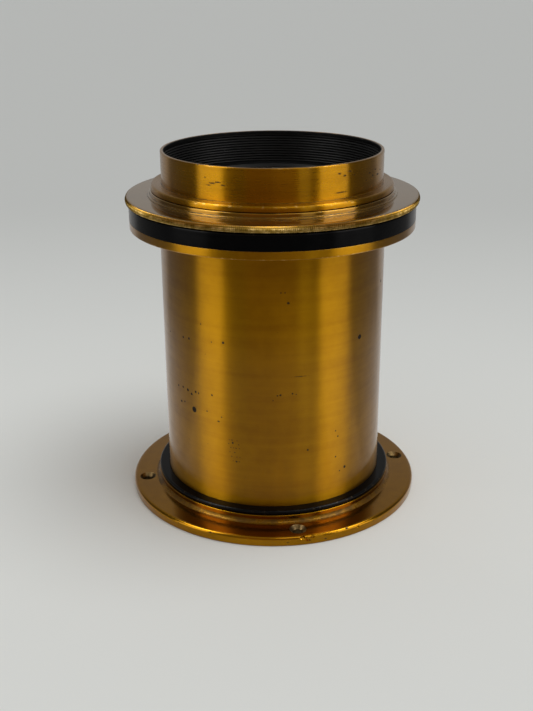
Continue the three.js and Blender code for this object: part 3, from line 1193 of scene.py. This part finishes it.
@dataclass
class Barrel:
    """The drawn tube, the iris housing on top of it and the black band."""

    dresser: Dresser
    tube_bore: float = 36.5
    thread_end: float = 22.0
    tuck: float = 0.25
    spigot_wall: float = 1.4
    spigot_gap: float = 0.3
    seat_gap: float = 0.3
    lip: float = 2.7
    shelf: float = 0.9
    recess: float = 1.3
    inside: float = 2.25
    band: float = 1.0
    band_tuck: float = 0.15

    def tube(self) -> Object:
        """The drawn tube, matt black inside."""
        span = Span.of("barrel_tube")
        top = span.top + self.tuck
        return turned("drawn_tube", [
            Corner(span.radius, span.bottom, 0.25),
            Corner(span.radius, top, 0.1, skin=1),
            Corner(self.tube_bore, top, 0.1, skin=1),
            Corner(self.tube_bore, self.thread_end, 0.0, skin=1, relief=replace(CELL_THREAD, depth=0.15)),
            Corner(self.tube_bore, span.bottom, 0.25),
        ], sides=FINE)

    def housing(self) -> Object:
        """The iris housing, whose lip shows under the black band."""
        span = Span.of("iris_housing")
        collar = Span.of("barrel_tube").top + self.seat_gap
        wall_out, wall_in = span.radius - self.recess, span.radius - self.inside
        spigot = self.tube_bore - self.spigot_gap
        bore = spigot - self.spigot_wall
        return turned("iris_housing_shell", [
            Corner(bore, span.bottom, 0.2),
            Corner(spigot, span.bottom, 0.3),
            Corner(spigot, collar, 0.0),
            Corner(span.radius, collar, 0.4),
            Corner(span.radius, collar + self.lip, 0.05),
            Corner(wall_out, collar + self.lip, 0.0, skin=1),
            Corner(wall_out, span.top, 0.1, skin=1),
            Corner(wall_in, span.top, 0.1, skin=1),
            Corner(wall_in, collar + self.shelf, 0.1, skin=1),
            Corner(bore, collar + self.shelf, 0.1, skin=1),
        ], sides=FINE)

    def build(self) -> None:
        """Makes and dresses the pieces."""
        brass = replace(
            BRASS, name="barrel_brass", marks=BARREL_MARKS + BARREL_PITS,
            mark_radius=Span.of("barrel_tube").radius, pits=0.7, wear=0.4, lines=2.0)
        settle = self.dresser.settle
        settle(self.tube(), "barrel", "barrel_tube", Finish.LACQUER, [brass, MATT])
        settle(self.housing(), "barrel", "iris_housing", Finish.LACQUER, [BRASS, MATT])
        node = "aperture_scale_band"
        bore = Span.of(node).radius - self.band
        rounds = (0.0, 0.08, 0.25, 0.0)
        band = hoop("black_band", node, bore, rounds, under=self.band_tuck, sides=FINE)
        settle(band, "barrel", node, Finish.ENAMEL, [ENAMEL])


@dataclass
class Iris:
    """The plates and the twelve blades."""

    dresser: Dresser
    blades: int = 12
    pin_circle: float = 39.5
    pin: float = 0.6
    span: float = 142.0
    inner: float = 30.6
    outer: float = 41.6
    thickness: float = 0.14
    lift: float = 1.0
    end_angle: float = 3.5
    rounding: float = 14.0
    stations: int = 90
    easing: float = 0.35
    tip: float = 0.02
    margin: float = 0.45
    margin_share: float = 0.6
    stem: float = 0.75
    pin_round: float = 0.12
    pin_sides: int = 20
    pivot_gap: float = 0.2
    plate_bore: float = 30.4
    cover_bore: float = 34.6
    boss: float = 36.4
    cover_top: float = 103.7

    def leaf(self, number: int) -> Object:
        """One blade: a crescent that rises round the axis, with its two pins.

        Args:
            number: The blade's place, from 0.

        Returns:
            The blade.
        """
        low = Span.of("iris_blade_01")
        turn = math.radians(360 * number / self.blades)
        start, end = -self.end_angle, self.span + self.end_angle
        even = np.linspace(0, 1, self.stations)
        eased = (1 - np.cos(np.linspace(0, math.pi, self.stations))) / 2
        angle = start + (end - start) * (self.easing * eased + (1 - self.easing) * even)
        share = np.minimum(np.minimum(angle - start, end - angle), self.rounding) / self.rounding
        middle, half = (self.inner + self.outer) / 2, (self.outer - self.inner) / 2
        width = np.maximum(half * np.sqrt(1 - (1 - share) ** 2), self.tip)
        drift = (1 - width / half) * (self.pin_circle - middle)
        outer, inner = middle + width + drift, middle - width + drift
        margin = np.minimum(self.margin, width * self.margin_share)
        rows = (
            (outer, 0, 1.0),
            (outer, 1, 1.0),
            (outer - margin, 1, 0.0),
            (inner + margin, 1, 0.0),
            (inner, 1, 1.0),
            (inner, 0, 1.0),
            (inner + margin, 0, 0.0),
            (outer - margin, 0, 0.0),
        )
        foot = low.bottom + self.stem
        way = np.radians(angle) + turn
        rise = foot + self.lift * np.radians(angle)
        verts = np.concatenate([
            np.stack([radius * np.cos(way), radius * np.sin(way), rise + face * self.thickness], axis=-1)
            for radius, face, _ in rows
        ])
        count = self.stations
        faces = []
        for side in range(len(rows)):
            here, there = side * count, ((side + 1) % len(rows)) * count
            for k in range(count - 1):
                faces.append((here + k, here + k + 1, there + k + 1, there + k))
        for cap in ((0, 1, 2, 7), (7, 2, 3, 6), (6, 3, 4, 5)):
            faces.append(tuple(row * count for row in cap))
            faces.append(tuple(row * count + count - 1 for row in reversed(cap)))
        stored = {
            "run": np.concatenate([radius for radius, _, _ in rows]),
            "edge": np.repeat([edge for _, _, edge in rows], count),
        }
        blade = mesh_object(f"blade_leaf_{number + 1:02d}", verts, np.array(faces), stored=stored)
        middle_z = foot + self.thickness / 2
        far = math.radians(self.span)
        pins = [
            self.rivet(low.bottom, middle_z, turn),
            self.rivet(foot + self.lift * far + self.thickness / 2, low.top, turn + far),
        ]
        return joined([blade, *pins])

    def rivet(self, bottom: float, top: float, way: float) -> Object:
        """One of a blade's pins, between two heights in mm, `way` radians round."""
        corners = [
            Corner(0.0, bottom),
            Corner(self.pin, bottom, self.pin_round),
            Corner(self.pin, top, self.pin_round),
            Corner(0.0, top),
        ]
        return stud(corners, self.pin_sides, self.pin_circle, way)

    def base_plate(self) -> Object:
        """The plate that the blades turn on, with their pivot holes."""
        node = "iris_base_plate"
        plate = hoop("blade_plate", node, self.plate_bore, (0.12, 0.05, 0.05, 0.12))
        span = Span.of(node)
        hole, low, high = self.pin + self.pivot_gap, span.bottom - CLEAR, span.top + CLEAR
        turns = [360 * i / self.blades for i in range(self.blades)]
        shape = [(0.0, low), (hole, low), (hole, high), (0.0, high)]
        return pierced(plate, [joined(hole_tools(shape, self.pin_circle, turns))])

    def cover(self) -> Object:
        """The cover of the housing, with the threaded boss that takes the front cell."""
        span = Span.of("iris_cover")
        return turned("housing_cover", [
            Corner(self.cover_bore, span.bottom, 0.1),
            Corner(span.radius, span.bottom, 0.1),
            Corner(span.radius, self.cover_top, 0.2),
            Corner(self.boss, self.cover_top, 0.2),
            Corner(self.boss, span.top, 0.25),
            Corner(self.cover_bore, span.top, 0.2, relief=replace(CELL_THREAD, depth=0.15)),
        ])

    def build(self) -> None:
        """Makes and dresses the pieces, and dresses the CAD pieces that stay."""
        settle = self.dresser.settle
        for number in range(self.blades):
            place = f"{number + 1:02d}"
            leaf = self.leaf(number)
            settle(leaf, f"blade_{place}", f"iris_blade_{place}", Finish.STEEL, [STEEL])
        settle(self.base_plate(), "barrel", "iris_base_plate", Finish.MATT, [MATT, MATT])
        settle(self.cover(), "barrel", "iris_cover", Finish.INNER, [INNER])
        for node in ("iris_cam_ring", "aperture_drive_pin"):
            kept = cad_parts[node].data.materials
            kept.clear()
            kept.append(self.dresser.material(INNER))
            log.info("%-24s keeps its CAD shape", node)


def joined(pieces: Sequence[Object]) -> Object:
    """Joins a row of objects into the first of them.

    Args:
        pieces: The objects. All but the first are used up.

    Returns:
        The first object.
    """
    bpy.ops.object.select_all(action="DESELECT")
    for piece in pieces:
        piece.select_set(True)
    bpy.context.view_layer.objects.active = pieces[0]
    bpy.ops.object.join()
    return pieces[0]


@dataclass
class ControlRing:
    """The knurled ring that opens and closes the iris."""

    dresser: Dresser
    bore: float = 36.8
    tier: float = 40.9
    tier_height: float = 1.8
    foot: float = 41.6
    foot_height: float = 0.5
    bevel: float = 1.15
    crown: float = 0.35

    def ring(self) -> Object:
        """The ring, knurled round its rim."""
        span = Span.of("aperture_control_ring")
        disc_top = span.top - self.tier_height
        foot_top = disc_top + self.foot_height
        bevel, crown = span.radius - self.bevel, span.radius - self.crown
        return turned("knurled_control_ring", [
            Corner(self.bore, span.bottom, 0.1),
            Corner(bevel, span.bottom, 0.1, skin=1, relief=RIM_KNURL),
            Corner(crown, span.bottom + 0.1, 0.6, skin=1, relief=RIM_KNURL),
            Corner(span.radius, (span.bottom + disc_top) / 2, 1.2, skin=1, relief=RIM_KNURL),
            Corner(crown, disc_top - 0.1, 0.6, relief=RIM_KNURL),
            Corner(bevel, disc_top, 0.15),
            Corner(self.foot, disc_top, 0.15),
            Corner(self.foot, foot_top, 0.15),
            Corner(self.tier, foot_top, 0.15),
            Corner(self.tier, span.top, 0.3),
            Corner(self.bore, span.top, 0.2),
        ], sides=knurl_teeth(RIM_KNURL) * KNURL_SAMPLES)

    def build(self) -> None:
        """Makes and dresses the ring."""
        disc = replace(
            BRASS, name="ring_brass", gold=(0.35, 0.180, 0.006), umber=(0.25, 0.120, 0.004),
            roughness=0.16, anisotropy=0.6, coat_roughness=0.03, coat_index=1.36, wear=0.25, lines=0.12)
        knurl = replace(
            BRASS, name="knurl_brass", gold=(0.24, 0.145, 0.02), umber=(0.15, 0.085, 0.012),
            roughness=0.34, anisotropy=0.3, coat=0.3, wear=0.8, lines=0.3)
        self.dresser.settle(
            self.ring(), "aperture_ring", "aperture_control_ring", Finish.LACQUER, [disc, knurl])


@dataclass(frozen=True)
class Element:
    """One glass element.

    Args:
        side: The end of the lens that it is in, front or rear.
        kind: Its kind of glass, crown or flint.
        rear: Heights of its rear surface at the centre and at the edge, in mm.
        front: Heights of its front surface at the centre and at the edge, in mm.
        index: Refractive index.
    """

    side: str
    kind: str
    rear: tuple[float, float]
    front: tuple[float, float]
    index: float

    def _surface(self, centre: float, edge: float) -> list[Corner]:
        """Corners of a spherical surface, with its heights at the centre and edge, from the centre out."""
        semi, sag = Span.of(f"{self.side}_crown_element").radius, edge - centre
        radii = semi * np.linspace(0, 1, GLASS_STEPS)
        if abs(sag) < TINY:
            return [Corner(float(r), centre) for r in radii]
        curve = (semi**2 + sag**2) / (2 * sag)
        heights = centre + curve - math.copysign(1.0, curve) * np.sqrt(curve**2 - radii**2)
        return [Corner(float(r), float(z)) for r, z in zip(radii, heights)]

    def build(self, dresser: Dresser) -> None:
        """Makes and dresses the element."""
        name = f"{self.side}_{self.kind}"
        corners = [*self._surface(*self.rear), *reversed(self._surface(*self.front))]
        glass = revolve(name, trace(corners, closed=False), GLASS_SIDES, closed=False)
        finish = OpticalGlass(f"glass_{name}", index=self.index)
        dresser.settle(glass, f"{self.side}_glass", f"{name}_element", Finish.GLASS, [finish])


CROWN_INDEX = 1.52
FLINT_INDEX = 1.62
GLASS_STEPS = 25
GLASS_SIDES = 192
SLOT_CIRCLE = 31.0
SLOT_WIDTH = 2.4
SLOT_DEPTH = 1.2


def spanner_slots(z: float, length: float) -> Object:
    """A cutter for two slots across a ring, for a spanner.

    Args:
        z: Height of the slots' middle, in mm.
        length: Length of a slot along the radius, in mm.

    Returns:
        The cutter.
    """
    work = bmesh.new()
    block = Matrix.Diagonal((length * MM, SLOT_WIDTH * MM, SLOT_DEPTH * MM, 1))
    for side in (-1, 1):
        place = Matrix.Translation((side * SLOT_CIRCLE * MM, 0, z * MM))
        bmesh.ops.create_cube(work, size=1, matrix=place @ block)
    mesh = bpy.data.meshes.new("slots")
    work.to_mesh(mesh)
    work.free()
    return placed("slots", mesh)


@dataclass
class FrontCell:
    """The hood with its collar, the retaining ring and the cemented front pair."""

    dresser: Dresser
    hood: float = 37.0
    wall: float = 1.2
    collar_top: float = 110.2
    collar_bottom: float = 108.3
    floor: float = 109.0
    thread: float = 34.2
    thread_run_out: float = 0.6
    lead_in: float = 0.9
    bore: float = 33.0
    seat: float = 31.2
    ledge: float = 0.6
    ring_foot: tuple[float, float] = (30.8, 108.2)
    ring_shelf: tuple[float, float] = (29.2, 108.8)
    ring_neck: float = 32.6
    ring_mouth: float = 30.2
    ring_slope: float = 1.0
    ring_gap: float = 0.1
    slot: float = 3.0
    glasses: tuple[Element, ...] = (
        Element("front", "crown", (104.7, 106.1), (112.4, 107.4), CROWN_INDEX),
        Element("front", "flint", (102.8, 102.8), (104.68, 106.08), FLINT_INDEX),
    )

    def cell(self) -> Object:
        """The cell and hood in one, brass outside and matt black inside."""
        span = Span.of("front_cell_hood")
        mouth = self.hood - self.wall
        ledge = span.bottom + self.ledge
        return turned("hood_and_collar", [
            Corner(self.seat, span.bottom, 0.1, skin=1),
            Corner(self.thread, span.bottom, 0.3, relief=CELL_THREAD),
            Corner(self.thread, self.collar_bottom, 0.0),
            Corner(span.radius, self.collar_bottom, 0.18),
            Corner(span.radius, self.collar_top, 1.1),
            Corner(self.hood, self.collar_top, 0.12),
            Corner(self.hood, span.top, 0.28),
            Corner(mouth, span.top, 0.25, skin=1),
            Corner(mouth, span.top - self.lead_in, 0.0, skin=1, relief=HOOD_THREAD),
            Corner(mouth, self.floor + self.thread_run_out, 0.0, skin=1),
            Corner(mouth, self.floor, 0.1, skin=1),
            Corner(self.bore, self.floor, 0.1, skin=1),
            Corner(self.bore, ledge, 0.0, skin=1),
            Corner(self.seat, ledge, 0.1, skin=1),
        ], sides=FINE)

    def ring(self) -> Object:
        """The wide black ring that holds the glass."""
        span = Span.of("front_retaining_ring")
        flat = self.floor + self.ring_gap
        ring = turned("glass_retaining_ring", [
            Corner(*self.ring_foot, 0.1),
            Corner(self.ring_neck, span.bottom, 0.1),
            Corner(self.ring_neck, flat, 0.0),
            Corner(span.radius, flat, 0.1),
            Corner(span.radius, span.top, 0.15),
            Corner(self.ring_mouth, span.top, 0.25),
            Corner(self.ring_shelf[0], span.top - self.ring_slope, 0.15),
            Corner(*self.ring_shelf, 0.1),
        ])
        return pierced(ring, [spanner_slots(span.top, self.slot)])

    def build(self) -> None:
        """Makes and dresses the pieces."""
        brass = replace(
            BRASS, name="hood_brass", lines=1.6, roughness=0.29, coat=0.5, coat_roughness=0.05,
            wear=0.4, pits=0.9, marks=HOOD_MARKS, mark_radius=self.hood)
        settle = self.dresser.settle
        settle(self.cell(), "front_cell", "front_cell_hood", Finish.LACQUER, [brass, MATT])
        settle(self.ring(), "front_cell", "front_retaining_ring", Finish.MATT, [MATT])
        for glass in self.glasses:
            glass.build(self.dresser)


@dataclass
class RearCell:
    """The rear cell with its air-spaced pair, spacer and retaining ring."""

    dresser: Dresser
    bore: float = 33.4
    seat: float = 31.4
    thread_start: float = 3.0
    ledge: float = 0.6
    ring_bore: float = 31.0
    ring_slope: float = 0.4
    slot: float = 1.6
    spacer_bore: float = 31.2
    glasses: tuple[Element, ...] = (
        Element("rear", "crown", (7.0, 10.3), (16.5, 13.3), CROWN_INDEX),
        Element("rear", "flint", (17.6, 15.6), (19.6, 18.3), FLINT_INDEX),
    )

    def cell(self) -> Object:
        """The cell, threaded outside."""
        span = Span.of("rear_cell")
        return turned("rear_cell_shell", [
            Corner(self.bore, span.bottom, 0.25),
            Corner(span.radius, span.bottom, 0.3),
            Corner(span.radius, span.bottom + self.thread_start, 0.0, relief=CELL_THREAD),
            Corner(span.radius, span.top, 0.3, skin=1),
            Corner(self.seat, span.top, 0.2, skin=1),
            Corner(self.seat, span.top - self.ledge, 0.1, skin=1),
            Corner(self.bore, span.top - self.ledge, 0.0, skin=1),
        ])

    def ring(self) -> Object:
        """The ring that holds the rear glass, slotted for a spanner."""
        node = "rear_retaining_ring"
        rounds = (0.2, 0.2, 0.1, 0.1)
        ring = hoop("rear_glass_ring", node, self.ring_bore, rounds, slope=self.ring_slope)
        return pierced(ring, [spanner_slots(Span.of(node).bottom, self.slot)])

    def build(self) -> None:
        """Makes and dresses the pieces."""
        settle = self.dresser.settle
        settle(self.cell(), "rear_cell", "rear_cell", Finish.INNER, [INNER, MATT])
        settle(self.ring(), "rear_cell", "rear_retaining_ring", Finish.MATT, [MATT])
        spacer = hoop("rear_spacer", "rear_spacer_ring", self.spacer_bore, (0.1,) * 4)
        settle(spacer, "rear_cell", "rear_spacer_ring", Finish.MATT, [MATT])
        for glass in self.glasses:
            glass.build(self.dresser)


# ------------------------------------------------------------------ studio


@dataclass(frozen=True)
class Glow:
    """A stretch of the reflected room that has a brightness of its own.

    Args:
        start: Degrees round from the front, to the right, where it begins.
        end: Where it ends.
        soft: Degrees over which each side fades.
        light: Colour and brightness.
    """

    start: float
    end: float
    soft: float
    light: Colour


def grey(level: float) -> Colour:
    """A neutral light."""
    return (level, level * 0.99, level * 0.965)


@dataclass
class Studio:
    """A pale floor, soft light, a ring of reflectors and the camera."""

    away: float = 0.3379
    height: float = 0.1779
    pitch: float = 21.163
    yaw: float = -0.387
    roll: float = -0.366
    lens: float = 51.43
    sensor: float = 36.0
    floor_size: float = 6.0
    floor_near: Colour = (0.782, 0.796, 0.770)
    floor_far: Colour = (0.580, 0.592, 0.575)
    floor_shade_fade: tuple[float, float] = (-60.0, 480.0)
    room: Colour = (0.42, 0.42, 0.42)
    backdrop: Colour = (0.46, 0.47, 0.46)
    sun_azimuth: float = 80.0
    sun_height: float = 70.0
    sun_spread: float = 45.0
    sun_strength: float = 1.3
    near: tuple[Glow, ...] = (
        Glow(-180, 180, 1, grey(0.60)),
        Glow(-80, -47, 10, grey(0.90)),
        Glow(47, 81, 5, grey(0.90)),
    )
    far: tuple[Glow, ...] = (
        Glow(-181, 181, 1, grey(0.20)),
        Glow(-48, 48, 6, grey(0.04)),
        Glow(-77, -49, 6, grey(0.34)),
        Glow(46.5, 79, 4, grey(0.34)),
        Glow(130, 181, 12, grey(0.45)),
        Glow(-181, -130, 12, grey(0.45)),
    )
    walls: tuple[Glow, ...] = (
        Glow(-49, 48, 4, (0.25, 0.22, 0.18)),
        Glow(-26, 25, 5, (0.32, 0.21, 0.12)),
        Glow(25.5, 37.5, 1.5, grey(0.85)),
        Glow(-77, -49, 7, grey(2.3)),
        Glow(46.5, 79, 2, grey(2.3)),
        Glow(125, 181, 12, grey(0.34)),
        Glow(-181, -125, 12, grey(0.34)),
    )
    roof: tuple[Glow, ...] = (
        Glow(-181, 181, 1, grey(0.40)),
        Glow(-108, -70, 8, grey(8.0)),
        Glow(4, 50, 6, grey(2.4)),
        Glow(71, 108, 5, grey(8.0)),
    )
    rim: tuple[tuple[float, float], ...] = (
        (0.058, 0.0004),
        (0.19, 0.0015),
        (0.35, 0.008),
        (0.60, 0.06),
        (0.78, 0.20),
        (0.82, 0.45),
        (0.70, 0.85),
        (0.45, 1.08),
        (0.10, 1.18),
    )
    dim: Colour = grey(0.12)
    zenith: Colour = grey(0.45)
    ground_fade: tuple[float, float] = (150.0, 240.0)
    wall_fade: tuple[float, float] = (12.0, 50.0)
    roof_fade: tuple[float, float] = (760.0, 900.0)
    zenith_fade: tuple[float, float] = (520.0, 360.0)

    def camera(self) -> None:
        """The camera, on its stand in front of the lens."""
        yaw, pitch, roll = (math.radians(a) for a in (self.yaw, self.pitch, self.roll))
        level = math.cos(pitch)
        ahead = Vector((math.sin(yaw) * level, math.cos(yaw) * level, -math.sin(pitch)))
        right = Vector((math.cos(yaw), -math.sin(yaw), 0.0))
        above = right.cross(ahead)
        right, above = (
            right * math.cos(roll) + above * math.sin(roll),
            above * math.cos(roll) - right * math.sin(roll),
        )
        data = bpy.data.cameras.new("camera")
        data.sensor_width = self.sensor
        data.lens = self.lens
        data.clip_start = 0.01
        camera = placed("camera", data)
        turn = Matrix((right, above, -ahead)).transposed().to_4x4()
        camera.matrix_world = Matrix.Translation((0.0, -self.away, self.height)) @ turn
        bpy.context.scene.camera = camera

    def floor(self) -> None:
        """A wide pale floor, with painted shade that darkens it away to the back."""
        size = self.floor_size
        verts = np.array([(-size, -size, 0), (size, -size, 0), (size, size, 0), (-size, size, 0)])
        floor = mesh_object("floor", verts / MM, np.array([(0, 1, 2, 3)]))
        graph = Graph.named("pale_floor")
        place = graph.place()
        # Painted shade: the colour fades from the near colour to the darker far one towards the back.
        back = graph.split(place)[1].rise(*self.floor_shade_fade)
        floor.data.materials.append(graph.finish({
            "Base Color": graph.blend(back, self.floor_near, self.floor_far),
            "Roughness": 0.6,
            "Specular IOR Level": 0.1,
        }))

    def reflectors(self) -> None:
        """The ring of reflectors that polished metal shows, and nothing else does."""
        path = [Stop(radius / MM, height / MM) for radius, height in self.rim]
        ring = revolve("reflectors", path, RING_SIDES, closed=False)
        graph = Graph.named("reflectors")
        place = graph.place()
        parts = graph.split(place)
        feeds = {0: parts[0], 1: parts[1] * -1.0}
        turn = graph.node("ShaderNodeMath", {"operation": "ARCTAN2"}, feeds)[0]
        degrees = turn * math.degrees(1.0)
        away = graph.vector("LENGTH", graph.vector("MULTIPLY", place, (1.0, 1.0, 0.0))[0])["Value"]
        chains = (self.near, self.far, self.walls, self.roof)
        near, far, walls, roof = (self.glow_chain(graph, degrees, chain) for chain in chains)
        ground = graph.blend(away.rise(*self.ground_fade), near, far)
        light = graph.blend(parts[2].rise(*self.wall_fade), ground, walls)
        roof = graph.blend(away.rise(*self.zenith_fade), roof, self.zenith)
        ring.data.materials.append(graph.finish({
            "Base Color": (0.0, 0.0, 0.0),
            "Roughness": 1.0,
            "Specular IOR Level": 0.0,
            "Emission Color": graph.blend(parts[2].rise(*self.roof_fade), light, roof),
            "Emission Strength": 1.0,
        }))
        for kind in ("camera", "diffuse", "shadow", "transmission", "volume_scatter"):
            setattr(ring, f"visible_{kind}", False)

    def glow_chain(self, graph: Graph, degrees: Value, glows: Iterable[Glow]) -> Feed:
        """Lays stretches of light over one another.

        Args:
            graph: The material's graph.
            degrees: Degrees round from the front.
            glows: The stretches, the last on top.

        Returns:
            The light, as a colour.
        """
        light: Feed = self.dim
        for glow in glows:
            half = glow.soft / 2
            inside = degrees.rise(glow.start - half, glow.start + half)
            inside = inside * degrees.rise(glow.end + half, glow.end - half)
            light = graph.blend(inside, light, glow.light)
        return light

    def sun(self) -> None:
        """A soft light from far off, which doesn't show in the metal or through the glass."""
        data = bpy.data.lights.new("key", "SUN")
        data.energy = self.sun_strength
        data.angle = math.radians(self.sun_spread)
        lamp = placed("key", data)
        around, above = math.radians(self.sun_azimuth), math.radians(self.sun_height)
        place = Vector((
            math.sin(around) * math.cos(above),
            -math.cos(around) * math.cos(above),
            math.sin(above),
        ))
        lamp.rotation_mode = "QUATERNION"
        lamp.rotation_quaternion = (-place).to_track_quat("-Z", "Y")
        lamp.visible_glossy = False
        lamp.visible_transmission = False

    def world(self) -> None:
        """A pale room, which looks a little brighter than the light it gives."""
        world = bpy.data.worlds.new("room")
        graph = Graph(world)
        shades = (self.room, self.backdrop)
        room, wall = (graph.node("ShaderNodeBackground", {}, {"Color": shade})[0] for shade in shades)
        seen = graph.node("ShaderNodeLightPath", {}, {})["Is Camera Ray"]
        mix = graph.node("ShaderNodeMixShader", {}, {0: seen, 1: room, 2: wall})[0]
        graph.node("ShaderNodeOutputWorld", {}, {"Surface": mix})
        bpy.context.scene.world = world

    def build(self) -> None:
        """Sets up the studio."""
        self.camera()
        self.floor()
        self.world()
        self.reflectors()
        self.sun()
        bpy.context.scene.view_settings.view_transform = "Standard"


def main() -> None:
    """Builds the studio and every sub-assembly."""
    Studio().build()
    dresser = Dresser()
    for assembly in (Mount, Barrel, Iris, ControlRing, FrontCell, RearCell):
        log.info("-- %s", assembly.__name__)
        assembly(dresser).build()


if __name__ == "__main__":
    main()
